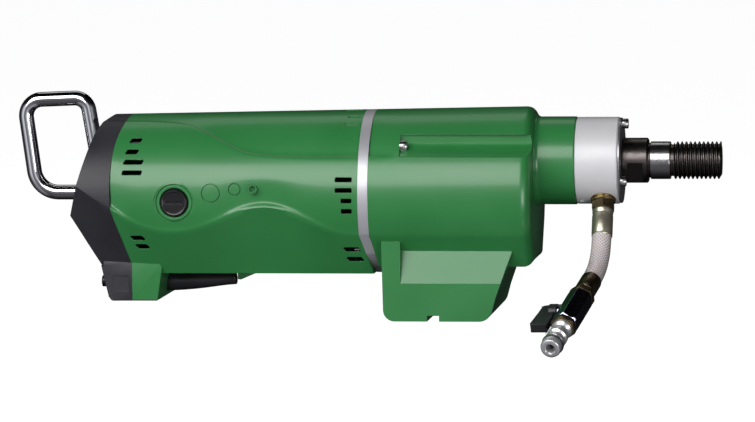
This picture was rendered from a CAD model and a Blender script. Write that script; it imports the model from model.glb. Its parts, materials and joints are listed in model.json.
"""The looks of a core drill motor unit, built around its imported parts.

X runs along the spindle towards the core bit and Z is up. Sizes in this file are in
millimetres and become metres in the meshes.
"""

import json
import logging
import math
from dataclasses import dataclass, field
from enum import Enum
from typing import Callable, Sequence

import bmesh
import bpy
from mathutils import Matrix, Vector


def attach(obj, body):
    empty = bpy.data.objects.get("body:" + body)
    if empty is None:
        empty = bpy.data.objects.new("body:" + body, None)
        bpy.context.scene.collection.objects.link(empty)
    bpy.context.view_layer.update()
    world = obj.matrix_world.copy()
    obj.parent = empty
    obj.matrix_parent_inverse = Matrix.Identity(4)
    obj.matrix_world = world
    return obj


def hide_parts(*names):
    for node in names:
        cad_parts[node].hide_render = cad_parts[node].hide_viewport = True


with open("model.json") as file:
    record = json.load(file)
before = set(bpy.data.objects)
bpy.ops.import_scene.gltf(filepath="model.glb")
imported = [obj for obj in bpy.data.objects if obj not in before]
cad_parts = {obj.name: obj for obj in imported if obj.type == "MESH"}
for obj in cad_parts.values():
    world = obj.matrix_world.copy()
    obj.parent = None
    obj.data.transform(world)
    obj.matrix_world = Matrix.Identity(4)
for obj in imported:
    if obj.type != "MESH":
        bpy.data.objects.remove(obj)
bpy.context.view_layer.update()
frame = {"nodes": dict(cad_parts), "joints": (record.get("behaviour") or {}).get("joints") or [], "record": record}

log = logging.getLogger("core_drill")
MM = 0.001
Point2 = tuple[float, float]
Point3 = tuple[float, float, float]
Color = tuple[float, float, float]


class Body(Enum):
    """The bodies of the frame that a piece can ride on."""

    UNIT = "motor_unit"
    ROTOR = "rotor"
    SPINDLE = "spindle"
    LEVER = "valve_lever"
    ROCKER = "switch_rocker"


class Axis(Enum):
    """Which way the fine lines of a machined finish repeat."""

    NONE = (1.0, 1.0, 1.0)
    ALONG_X = (34.0, 0.4, 0.4)
    ALONG_Z = (0.4, 0.4, 34.0)


# --- meshes --------------------------------------------------------------------------
def placed(origin: Point3, z_axis: Point3, x_hint: Point3 = (1.0, 0.0, 0.0)) -> Matrix:
    """A place whose local Z points along z_axis.

    Args:
        origin: The place's origin, in mm.
        z_axis: Direction of local Z.
        x_hint: Direction that local X is nearest to.

    Returns:
        The matrix from local metres to the frame.
    """
    z = Vector(z_axis).normalized()
    x = Vector(x_hint)
    if abs(x.dot(z)) > 0.99:
        x = Vector((0, 0, 1))
    x = (x - z * x.dot(z)).normalized()
    y = z.cross(x)
    turn = Matrix((x, y, z)).transposed().to_4x4()
    return Matrix.Translation(Vector(origin) * MM) @ turn


def lathe(profile: Sequence[Point2], steps: int = 72, ring: bool = False) -> bmesh.types.BMesh:
    """A turned shape about local Z.

    Args:
        profile: (z, radius) points in mm, from one end to the other.
        steps: Segments round the axis.
        ring: Joins the last point to the first, for a shape with a bore.

    Returns:
        The new mesh.
    """
    bm = bmesh.new()
    verts = [bm.verts.new((radius * MM, 0.0, z * MM)) for z, radius in profile]
    edges = [bm.edges.new(pair) for pair in zip(verts, verts[1:])]
    if ring:
        edges.append(bm.edges.new((verts[-1], verts[0])))
    bmesh.ops.spin(bm, geom=verts + edges, cent=(0, 0, 0), axis=(0, 0, 1), angle=math.tau,
                   steps=steps, use_merge=True)
    bmesh.ops.remove_doubles(bm, verts=bm.verts, dist=1e-6)
    bmesh.ops.recalc_face_normals(bm, faces=bm.faces)
    return bm


def prism(outline: Sequence[Point2], low: float, high: float) -> bmesh.types.BMesh:
    """A flat outline in local XY, extruded along Z from low to high (mm)."""
    bm = bmesh.new()
    face = bm.faces.new([bm.verts.new((x * MM, y * MM, low * MM)) for x, y in outline])
    grown = bmesh.ops.extrude_face_region(bm, geom=[face])["geom"]
    rise = Vector((0, 0, (high - low) * MM))
    bmesh.ops.translate(bm, vec=rise, verts=[g for g in grown if isinstance(g, bmesh.types.BMVert)])
    bmesh.ops.recalc_face_normals(bm, faces=bm.faces)
    return bm


def slab(outline: Sequence[Point2], y_low: float, y_high: float) -> bmesh.types.BMesh:
    """An outline in XZ, extruded along Y from y_low to y_high (mm)."""
    bm = prism(outline, -y_high, -y_low)
    bm.transform(Matrix.Rotation(math.pi / 2, 4, "X"))
    return bm


def box(low: Point3, high: Point3) -> bmesh.types.BMesh:
    """A box between two corners (mm)."""
    bm = bmesh.new()
    bmesh.ops.create_cube(bm, size=1.0)
    size = [(b - a) * MM for a, b in zip(low, high)]
    middle = Vector([(a + b) / 2 * MM for a, b in zip(low, high)])
    bm.transform(Matrix.Translation(middle) @ Matrix.Diagonal((*size, 1.0)))
    return bm


def polygon(sides: int, across_flats: float, turn: float = 0.0) -> list[Point2]:
    """Corners of a regular polygon from its size across flats (mm)."""
    radius = across_flats / 2 / math.cos(math.pi / sides)
    return [(radius * math.cos(turn + math.tau * k / sides), radius * math.sin(turn + math.tau * k / sides))
            for k in range(sides)]


def rounded(outline: Sequence[Point2], radii: Sequence[float], steps: int = 5) -> list[Point2]:
    """An outline whose corners are rounded by arcs.

    Args:
        outline: Corners in order.
        radii: One radius for each corner; 0 keeps it sharp.
        steps: Segments in each arc.

    Returns:
        The outline's points.
    """
    points: list[Point2] = []
    count = len(outline)
    for i, radius in enumerate(radii):
        here = Vector(outline[i])
        before = (Vector(outline[i - 1]) - here).normalized()
        after = (Vector(outline[(i + 1) % count]) - here).normalized()
        half = before.angle(after) / 2
        if radius <= 0 or half > math.radians(89):
            points.append(tuple(here))
            continue
        reach = radius / math.tan(half)
        centre = here + (before + after).normalized() * radius / math.sin(half)
        start, end = here + before * reach - centre, here + after * reach - centre
        for k in range(steps + 1):
            mixed = start.lerp(end, k / steps).normalized() * radius
            points.append(tuple(centre + mixed))
    return points


def soften(bm: bmesh.types.BMesh, width: float, angle: float = 30.0, segments: int = 2,
           keep: Callable[[Vector], bool] = lambda middle: True) -> None:
    """Bevels the sharp edges of a mesh.

    Args:
        bm: The mesh.
        width: Bevel width in mm.
        angle: Edges that turn by more than this, in degrees, are bevelled.
        segments: Faces across the bevel.
        keep: Says from an edge's middle point whether it is bevelled.
    """
    edges = [e for e in bm.edges if len(e.link_faces) == 2 and e.calc_face_angle(0) > math.radians(angle)
             and keep((e.verts[0].co + e.verts[1].co) / 2)]
    bmesh.ops.bevel(bm, geom=edges, offset=width * MM, affect="EDGES", segments=segments, profile=0.5,
                    material=-1, clamp_overlap=True)


def as_object(bm: bmesh.types.BMesh, name: str, place: Matrix | None = None) -> bpy.types.Object:
    """Turns a bmesh into an object at the origin, with the place in its mesh."""
    if place is not None:
        bm.transform(place)
    mesh = bpy.data.meshes.new(name)
    bm.to_mesh(mesh)
    bm.free()
    obj = bpy.data.objects.new(name, mesh)
    bpy.context.scene.collection.objects.link(obj)
    return obj


def applied(obj: bpy.types.Object) -> bpy.types.Object:
    """Applies an object's modifiers."""
    graph = bpy.context.evaluated_depsgraph_get()
    mesh = bpy.data.meshes.new_from_object(obj.evaluated_get(graph))
    obj.modifiers.clear()
    obj.data = mesh
    return obj


def combine(target: bpy.types.Object, tools: Sequence[bpy.types.Object], how: str) -> bpy.types.Object:
    """Joins, cuts or intersects an object with others, which are then removed.

    Args:
        target: The object that is changed.
        tools: The other solids.
        how: UNION, DIFFERENCE or INTERSECT.

    Returns:
        The target.
    """
    for tool in tools:
        step = target.modifiers.new("combine", "BOOLEAN")
        step.operation = how
        step.solver = "EXACT"
        step.object = tool
    applied(target)
    for tool in tools:
        bpy.data.objects.remove(tool)
    return target


def piece(obj: bpy.types.Object, finish: "Finish", body: Body, sharp: float = 32.0,
          replaces: Sequence[str] = ()) -> bpy.types.Object:
    """Finishes a piece: shading, material, slot, body and the nodes it stands for.

    Args:
        obj: The piece.
        finish: Its surface.
        body: The body it rides on.
        sharp: Edges that turn by more than this, in degrees, stay crisp.
        replaces: CAD nodes that it stands for.

    Returns:
        The piece.
    """
    bm = bmesh.new()
    bm.from_mesh(obj.data)
    bmesh.ops.remove_doubles(bm, verts=bm.verts, dist=2e-6)
    bmesh.ops.dissolve_degenerate(bm, dist=1e-6, edges=bm.edges)
    limit = math.radians(sharp)
    for face in bm.faces:
        face.smooth = True
    for edge in bm.edges:
        edge.smooth = len(edge.link_faces) == 2 and edge.calc_face_angle(0) < limit
    bm.to_mesh(obj.data)
    bm.free()
    obj.data.materials.clear()
    obj.data.materials.append(finish.material())
    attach(obj, body.value)
    if replaces:
        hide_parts(*replaces)
    log.info("%s: %d faces", obj.name, len(obj.data.polygons))
    return obj


# --- finishes ------------------------------------------------------------------------
class Nodes:
    """Builds a node tree with short calls."""

    def __init__(self, name: str) -> None:
        """Starts a material with an empty tree."""
        self.mat = bpy.data.materials.new(name)
        self.mat.use_nodes = True
        self.tree = self.mat.node_tree
        self.tree.nodes.clear()

    def add(self, kind: str, **inputs: object) -> bpy.types.Node:
        """Adds a node and sets inputs or properties by name.

        Args:
            kind: The node's type name without its ShaderNode prefix.
            **inputs: Socket values or links by socket name, with _ for a space, or properties.

        Returns:
            The node.
        """
        node = self.tree.nodes.new("ShaderNode" + kind)
        for key, value in inputs.items():
            if hasattr(node, key) and key not in ("inputs", "outputs", "color"):
                setattr(node, key, value)
                continue
            socket = node.inputs[int(key[1:])] if key[0] == "i" and key[1:].isdigit() else node.inputs[key.replace("_", " ")]
            if isinstance(value, bpy.types.NodeSocket):
                self.tree.links.new(value, socket)
            else:
                socket.default_value = value
        return node

    def math(self, operation: str, a: object, b: object = 0.0) -> bpy.types.NodeSocket:
        """A Math node's result."""
        return self.add("Math", operation=operation, i0=a, i1=b).outputs[0]

    def mix(self, factor: object, a: object, b: object) -> bpy.types.NodeSocket:
        """A colour mix."""
        node = self.tree.nodes.new("ShaderNodeMix")
        node.data_type = "RGBA"
        for index, value in ((0, factor), (6, a), (7, b)):
            if isinstance(value, bpy.types.NodeSocket):
                self.tree.links.new(value, node.inputs[index])
            else:
                node.inputs[index].default_value = value
        return node.outputs[2]

    def noise(self, scale: float, detail: float, stretch: Sequence[float] = (1, 1, 1),
              coords: str = "Object") -> bpy.types.NodeSocket:
        """Noise on the piece's own coordinates."""
        source = self.add("TexCoord").outputs[coords]
        mapping = self.add("Mapping", Vector=source, Scale=tuple(stretch))
        return self.add("TexNoise", Vector=mapping.outputs[0], Scale=scale, Detail=detail).outputs[0]

    def ramp(self, value: object, low: float, high: float, to_low: float, to_high: float) -> bpy.types.NodeSocket:
        """Maps a value from one range to another."""
        return self.add("MapRange", Value=value, From_Min=low, From_Max=high, To_Min=to_low,
                        To_Max=to_high).outputs[0]

    def edges(self, radius: float) -> tuple[bpy.types.NodeSocket, bpy.types.NodeSocket]:
        """A rounded normal and a mask of the edges.

        Args:
            radius: Rounding in metres.

        Returns:
            The normal, and the mask from 0 on a face to 1 on an edge.
        """
        bevel = self.add("Bevel", samples=4, Radius=radius).outputs[0]
        flat = self.add("NewGeometry").outputs["Normal"]
        dot = self.add("VectorMath", operation="DOT_PRODUCT", i0=bevel, i1=flat).outputs["Value"]
        return bevel, self.ramp(dot, 0.995, 0.86, 0.0, 1.0)

    def done(self, shader: bpy.types.Node) -> bpy.types.Material:
        """Joins the shader to the output."""
        out = self.add("OutputMaterial")
        self.tree.links.new(shader.outputs[0], out.inputs[0])
        return self.mat


@dataclass(frozen=True)
class Finish:
    """A surface with mottling, fine texture and worn edges.

    Args:
        name: Name of the material.
        color: Base colour.
        mottle: Second colour that the base drifts towards.
        edge: Colour of the worn edges.
        wear: How far the edges show it, from 0 to 1.
        metallic: 0 or 1.
        rough: Lowest and highest roughness.
        patch: Scale of the drifting colour and roughness.
        grain: Scale of the fine texture.
        bump: Height of the fine texture.
        lines: Direction of machining lines.
        coat: Weight of a clear coat.
        round_edge: Radius that edges seem to have, in mm.
        specular: Specular level.
    """

    name: str
    color: Color
    mottle: Color
    edge: Color = (0.5, 0.5, 0.5)
    wear: float = 0.1
    metallic: float = 0.0
    rough: Point2 = (0.35, 0.45)
    patch: float = 30.0
    grain: float = 900.0
    bump: float = 0.05
    lines: Axis = Axis.NONE
    coat: float = 0.0
    round_edge: float = 0.5
    specular: float = 0.5

    def material(self) -> bpy.types.Material:
        """The material, made once."""
        found = bpy.data.materials.get(self.name)
        if found is not None:
            return found
        n = Nodes(self.name)
        drift = n.noise(self.patch, 4.0)
        fine = n.noise(self.grain / max(self.lines.value), 3.0, self.lines.value)
        base = n.mix(n.ramp(drift, 0.35, 0.65, 0.0, 1.0), (*self.color, 1.0), (*self.mottle, 1.0))
        normal, edge = n.edges(self.round_edge * MM)
        broken = n.math("MULTIPLY", edge, n.ramp(n.noise(self.patch * 9, 6.0), 0.42, 0.6, 0.0, self.wear))
        color = n.mix(broken, base, (*self.edge, 1.0))
        rough = n.math("ADD", n.ramp(drift, 0.3, 0.7, *self.rough), n.ramp(fine, 0.3, 0.7, -0.03, 0.03))
        bump = n.add("Bump", Strength=self.bump, Distance=0.0004, Height=fine, Normal=normal)
        shader = n.add("BsdfPrincipled", Base_Color=color, Metallic=self.metallic, Roughness=rough,
                       Normal=bump.outputs[0], Coat_Weight=self.coat, Coat_Roughness=0.12,
                       Specular_IOR_Level=self.specular)
        return n.done(shader)


@dataclass(frozen=True)
class BraidedHose(Finish):
    """Clear plastic over a white braid that follows the hose's own map.

    Args:
        strands: Threads round the hose, each way.
        pitch: Threads crossed in one turn's length.
    """

    strands: float = 16.0
    pitch: float = 16.0

    def material(self) -> bpy.types.Material:
        """The braid's material, made once."""
        found = bpy.data.materials.get(self.name)
        if found is not None:
            return found
        n = Nodes(self.name)
        split = n.add("SeparateXYZ", Vector=n.add("TexCoord").outputs["UV"]).outputs
        around = n.math("MULTIPLY", split[0], self.strands)
        forward = n.math("MULTIPLY", split[1], self.pitch)
        threads = []
        for way in ("ADD", "SUBTRACT"):
            wave = n.math("PINGPONG", n.math(way, around, forward), 0.5)
            threads.append(n.ramp(wave, 0.12, 0.26, 1.0, 0.0))
        thread = n.math("MAXIMUM", *threads)
        drift = n.noise(self.patch, 3.0)
        plastic = n.mix(n.ramp(drift, 0.3, 0.7, 0.0, 1.0), (*self.color, 1.0), (*self.mottle, 1.0))
        color = n.mix(n.math("MULTIPLY", thread, 0.85), plastic, (*self.edge, 1.0))
        bump = n.add("Bump", Strength=0.35, Distance=0.0003, Height=thread)
        shader = n.add("BsdfPrincipled", Base_Color=color, Roughness=n.ramp(drift, 0.3, 0.7, *self.rough),
                       Normal=bump.outputs[0], Coat_Weight=0.6, Coat_Roughness=0.08,
                       Subsurface_Weight=0.25, Subsurface_Scale=0.003)
        return n.done(shader)


GREEN = Finish("green_enamel", (0.028, 0.205, 0.052), (0.033, 0.225, 0.060), (0.12, 0.36, 0.16), 0.25,
               rough=(0.30, 0.38), patch=14.0, grain=1500.0, bump=0.05, coat=0.25, round_edge=0.9)
CAP_BLACK = Finish("charcoal_plastic", (0.020, 0.020, 0.026), (0.025, 0.025, 0.032), (0.12, 0.12, 0.14), 0.3,
                   rough=(0.42, 0.52), grain=2600.0, bump=0.12, round_edge=0.7)
GLOSS_BLACK = Finish("gloss_black_plastic", (0.012, 0.012, 0.014), (0.016, 0.016, 0.018), (0.09, 0.09, 0.1), 0.3,
                     rough=(0.2, 0.3), grain=2200.0, bump=0.03, round_edge=0.4)
LEVER_BLACK = Finish("lever_plastic", (0.016, 0.016, 0.018), (0.022, 0.022, 0.024), (0.1, 0.1, 0.1), 0.3,
                     rough=(0.38, 0.5), grain=2400.0, bump=0.1, round_edge=0.5)
RUBBER = Finish("black_rubber", (0.014, 0.014, 0.015), (0.02, 0.02, 0.021), (0.05, 0.05, 0.05), 0.2,
                rough=(0.36, 0.48), grain=1800.0, bump=0.08)
CHROME = Finish("polished_chrome", (0.72, 0.72, 0.74), (0.68, 0.68, 0.70), (0.8, 0.8, 0.82), 0.1, 1.0,
                rough=(0.035, 0.07), patch=40.0, grain=600.0, bump=0.01)
VALVE_CHROME = Finish("plated_chrome", (0.50, 0.52, 0.64), (0.40, 0.42, 0.55), (0.85, 0.85, 0.88), 0.3, 1.0,
                      rough=(0.08, 0.16), patch=120.0, grain=1400.0, bump=0.03, round_edge=0.4)
NOSE_SILVER = Finish("satin_nickel", (0.74, 0.73, 0.75), (0.66, 0.65, 0.67), (0.9, 0.9, 0.9), 0.3, 0.7,
                     rough=(0.22, 0.32), patch=120.0, grain=1400.0, bump=0.03, round_edge=0.3)
RING_SILVER = Finish("turned_aluminium", (0.74, 0.735, 0.75), (0.69, 0.685, 0.70), (0.9, 0.9, 0.9), 0.3, 0.12,
                     rough=(0.38, 0.48), patch=35.0, grain=9000.0, bump=0.05, lines=Axis.ALONG_X)
BAND_SILVER = Finish("satin_aluminium", (0.56, 0.56, 0.59), (0.50, 0.50, 0.53), (0.8, 0.8, 0.8), 0.3, 0.45,
                     rough=(0.36, 0.46), patch=50.0, grain=1500.0, bump=0.06)
DARK_STEEL = Finish("turned_dark_steel", (0.115, 0.102, 0.098), (0.085, 0.074, 0.070), (0.5, 0.46, 0.42), 0.7, 1.0,
                    rough=(0.24, 0.38), patch=90.0, grain=9000.0, bump=0.07, lines=Axis.ALONG_X, round_edge=0.35)
GROUND_STEEL = Finish("ground_steel", (0.50, 0.49, 0.49), (0.42, 0.41, 0.41), (0.8, 0.8, 0.8), 0.4, 1.0,
                      rough=(0.18, 0.28), patch=90.0, grain=9000.0, bump=0.05, lines=Axis.ALONG_X)
COVER_STEEL = Finish("satin_cover_steel", (0.34, 0.335, 0.345), (0.28, 0.275, 0.285), (0.6, 0.6, 0.6), 0.5, 0.7,
                     rough=(0.22, 0.34), patch=80.0, grain=1600.0, bump=0.05)
ZINC = Finish("bright_zinc", (0.56, 0.56, 0.55), (0.46, 0.46, 0.45), (0.8, 0.8, 0.8), 0.4, 1.0,
              rough=(0.18, 0.3), patch=150.0, grain=2000.0, bump=0.05, round_edge=0.25)
BLACK_SCREW = Finish("blackened_screw", (0.035, 0.035, 0.038), (0.05, 0.05, 0.052), (0.3, 0.3, 0.3), 0.4, 1.0,
                     rough=(0.3, 0.42), patch=150.0, grain=2000.0, bump=0.05, round_edge=0.25)
YELLOW_ZINC = Finish("yellow_zinc", (0.62, 0.57, 0.44), (0.54, 0.52, 0.40), (0.85, 0.8, 0.6), 0.4, 0.85,
                     rough=(0.26, 0.38), patch=60.0, grain=1500.0, bump=0.03, round_edge=0.3)
BRASS = Finish("machined_brass", (0.50, 0.36, 0.15), (0.36, 0.26, 0.12), (0.85, 0.72, 0.42), 0.6, 1.0,
               rough=(0.2, 0.34), patch=140.0, grain=1600.0, bump=0.06, round_edge=0.35)
DULL_BRASS = Finish("dull_brass", (0.24, 0.18, 0.10), (0.17, 0.13, 0.08), (0.6, 0.5, 0.3), 0.7, 1.0,
                    rough=(0.26, 0.4), patch=140.0, grain=1600.0, bump=0.08, round_edge=0.4)
COPPER = Finish("enamelled_copper", (0.45, 0.18, 0.08), (0.36, 0.13, 0.06), (0.7, 0.4, 0.2), 0.3, 1.0,
                rough=(0.3, 0.4), grain=3000.0, bump=0.3)
LAMINATION = Finish("varnished_laminations", (0.12, 0.12, 0.13), (0.09, 0.09, 0.1), (0.3, 0.3, 0.3), 0.3, 1.0,
                    rough=(0.4, 0.5), grain=9000.0, bump=0.2, lines=Axis.ALONG_X)
CARBON = Finish("pressed_carbon", (0.02, 0.02, 0.02), (0.03, 0.03, 0.03), rough=(0.5, 0.6), grain=3000.0, bump=0.2)
PTFE = Finish("white_seat", (0.8, 0.8, 0.78), (0.74, 0.74, 0.72), rough=(0.4, 0.5), grain=2000.0)
HOSE = BraidedHose("clear_braided_hose", (0.40, 0.31, 0.31), (0.48, 0.39, 0.39), (0.84, 0.80, 0.80), rough=(0.25, 0.35))

SLOT_FINISH = {
    "green_paint": GREEN, "black_plastic": CAP_BLACK, "switch_black": GLOSS_BLACK, "cap_black": GLOSS_BLACK,
    "lever_black": LEVER_BLACK, "chrome": CHROME, "valve_chrome": VALVE_CHROME, "silver_casting": BAND_SILVER,
    "silver_ring": RING_SILVER, "spindle_steel": DARK_STEEL, "steel": GROUND_STEEL, "black_steel": COVER_STEEL,
    "zinc_screw": ZINC, "bearing_steel": GROUND_STEEL, "lamination_steel": LAMINATION, "copper": COPPER,
    "brass": BRASS, "zinc_yellow": YELLOW_ZINC, "carbon": CARBON, "rubber": RUBBER, "white_ptfe": PTFE,
    "clear_hose": HOSE,
}


# --- the body's shape ------------------------------------------------------------------
def curve_through(points: Sequence[Point2], x: float) -> float:
    """Height of a smooth curve through points at x.

    Args:
        points: (x, height) in order of x.
        x: Where the height is wanted.

    Returns:
        The height; it stays level past both ends.
    """
    if x <= points[0][0]:
        return points[0][1]
    if x >= points[-1][0]:
        return points[-1][1]
    i = max(k for k in range(len(points) - 1) if points[k][0] <= x)
    slopes = []
    for k in (i, i + 1):
        a, b = points[max(k - 1, 0)], points[min(k + 1, len(points) - 1)]
        slopes.append((b[1] - a[1]) / (b[0] - a[0]))
    (x0, z0), (x1, z1) = points[i], points[i + 1]
    h = x1 - x0
    t = (x - x0) / h
    return ((1 + 2 * t) * (1 - t) ** 2 * z0 + t * (1 - t) ** 2 * h * slopes[0]
            + t * t * (3 - 2 * t) * z1 + t * t * (t - 1) * h * slopes[1])


def ease(t: float) -> float:
    """A smooth step from 0 to 1."""
    t = min(max(t, 0.0), 1.0)
    return t * t * (3 - 2 * t)


def bell(x: float, middle: float, width: float) -> float:
    """A smooth bump of height 1."""
    return math.exp(-((x - middle) / width) ** 2)


@dataclass
class BodyShape:
    """The tapered body that housing, rear cap and gear case share.

    Attributes:
        rear: X, radius and centre height at the back.
        front: The same at the front.
        flat_half: Half width of the underside.
        brow: The upper line of the side panel.
        wave: The lower line of the side panel.
    """

    rear: Point3 = (-290.0, 68.2, 101.9)
    front: Point3 = (90.0, 70.9, 105.0)
    flat_half: float = 38.0
    brow: list[Point2] = field(default_factory=lambda: [
        (-272, 165.4), (-240, 164.9), (-212, 162.6), (-195, 157.4), (-178, 149.3), (-160, 141.4), (-142, 138.2),
        (-118, 137.1), (-60, 137.0)])
    wave: list[Point2] = field(default_factory=lambda: [
        (-301, 113.6), (-272.5, 94.8), (-252, 82.4), (-237, 76.8), (-221, 75.0), (-204, 76.8), (-184, 83.6),
        (-163, 92.6), (-142, 96.2), (-123, 93.3), (-106, 86.2), (-90, 78.0), (-74, 73.0), (-60, 72.0)])

    def circle(self, x: float) -> Point2:
        """Radius and centre height at x."""
        t = (x - self.rear[0]) / (self.front[0] - self.rear[0])
        return (self.rear[1] + t * (self.front[1] - self.rear[1]), self.rear[2] + t * (self.front[2] - self.rear[2]))

    def rows(self) -> list[tuple[str, float]]:
        """Names and places of the lines that run along the body, from the keel to the crown."""
        rows = [("keel", k / 5) for k in range(5)]
        rows += [("flank", k / 12) for k in range(12)]
        rows += [("lip", k / 4) for k in range(4)]
        rows += [("panel", k / 22) for k in range(22)]
        rows += [("step", k / 5) for k in range(5)]
        rows += [("crown", k / 16) for k in range(17)]
        return rows

    def section(self, row: tuple[str, float], x: float, flat_z: float, dip: float,
                step: float) -> Point2:
        """A point of the body's section.

        Args:
            row: The line that the point is on.
            x: Place along the body.
            flat_z: Height of the underside.
            dip: Depth of the hollow above the wave.
            step: Depth of the hollow above the brow.

        Returns:
            Y and Z, on the side where Y is positive.
        """
        radius, centre = self.circle(x)
        low = math.asin((curve_through(self.wave, x) - centre) / radius)
        high = math.asin((curve_through(self.brow, x) - centre) / radius)
        half = self.flat_half + (flat_z - 37.5) * 0.657
        lip, edge = 4.6 / radius, 4.2 / radius
        name, t = row
        if name == "keel":
            return half * t, flat_z
        if name == "flank":
            end = (radius * math.cos(low), centre + radius * math.sin(low))
            return half + (end[0] - half) * t, flat_z + (end[1] - flat_z) * t
        if name == "lip":
            angle, r = low + lip * t, radius - dip * ease(t)
        elif name == "panel":
            angle = low + lip + (high - low - lip) * t
            r = radius - dip * (1 - ease(t * 1.7))
        elif name == "step":
            angle, r = high + edge * t, radius - step * ease(t)
        else:
            angle = high + edge + (math.pi / 2 - high - edge) * t
            r = radius - step * (1 - ease(t * 1.15))
        return r * math.cos(angle), centre + r * math.sin(angle)

    def skin(self, columns: int, x_of: Callable[[float, float], float], flat_z: float,
             dip: Callable[[float], float], step: Callable[[float], float],
             shrink: Callable[[float], float] = lambda u: 0.0) -> bmesh.types.BMesh:
        """The body's skin as a tube that is open at both ends.

        Args:
            columns: Faces along the body.
            x_of: Gives X from the place along the skin (0 to 1) and the height.
            flat_z: Height of the underside.
            dip: Depth of the hollow above the wave at x.
            step: Depth of the hollow above the brow at x.
            shrink: Inset at a place along the skin.

        Returns:
            The mesh, in metres.
        """
        rows = self.rows()
        around = rows + list(reversed(rows[:-1]))
        last = len(around) - 1
        bm = bmesh.new()
        bmesh.ops.create_grid(bm, x_segments=columns, y_segments=last, size=0.5)
        for vert in bm.verts:
            u = min(max(vert.co.x + 0.5, 0.0), 1.0)
            k = round((vert.co.y + 0.5) * last)
            side = 1 if k < len(rows) else -1
            z = self.circle(-150.0)[1]
            for _ in range(4):
                x = x_of(u, z)
                y, z = self.section(around[k], x, flat_z, dip(x), step(x))
            centre = self.circle(x)[1]
            inset = shrink(u)
            if inset > 0:
                out = Vector((y, z - centre))
                out *= 1 - inset / out.length
                y, z = out.x, out.y + centre
            vert.co = Vector((x, side * y, z)) * MM
        bmesh.ops.remove_doubles(bm, verts=bm.verts, dist=1e-6)
        bmesh.ops.recalc_face_normals(bm, faces=bm.faces)
        return bm


SHAPE = BodyShape()
KNEE_Z = 72.0


def cap_edge_x(z: float) -> float:
    """X of the edge between rear cap and housing at a height."""
    return -curve_through([(20, 252.2), (47, 259.4), (72, 266.2), (93, 271.9), (104, 272.6), (130, 272.2),
                           (152, 269.6), (172, 263.7)], z)


def plate_x(z: float, front: bool) -> float:
    """X of the bright plate's rear or front face at a height."""
    top, lean = (-53.3, 9.0) if front else (-61.8, 11.3)
    return top + (lean * (KNEE_Z - z) / (KNEE_Z - 29.0) if z < KNEE_Z else 0.0)


def closed(bm: bmesh.types.BMesh) -> bmesh.types.BMesh:
    """Closes a mesh's open ends."""
    rim = [e for e in bm.edges if e.is_boundary]
    bmesh.ops.holes_fill(bm, edges=rim, sides=0)
    bmesh.ops.recalc_face_normals(bm, faces=bm.faces)
    return bm


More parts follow.
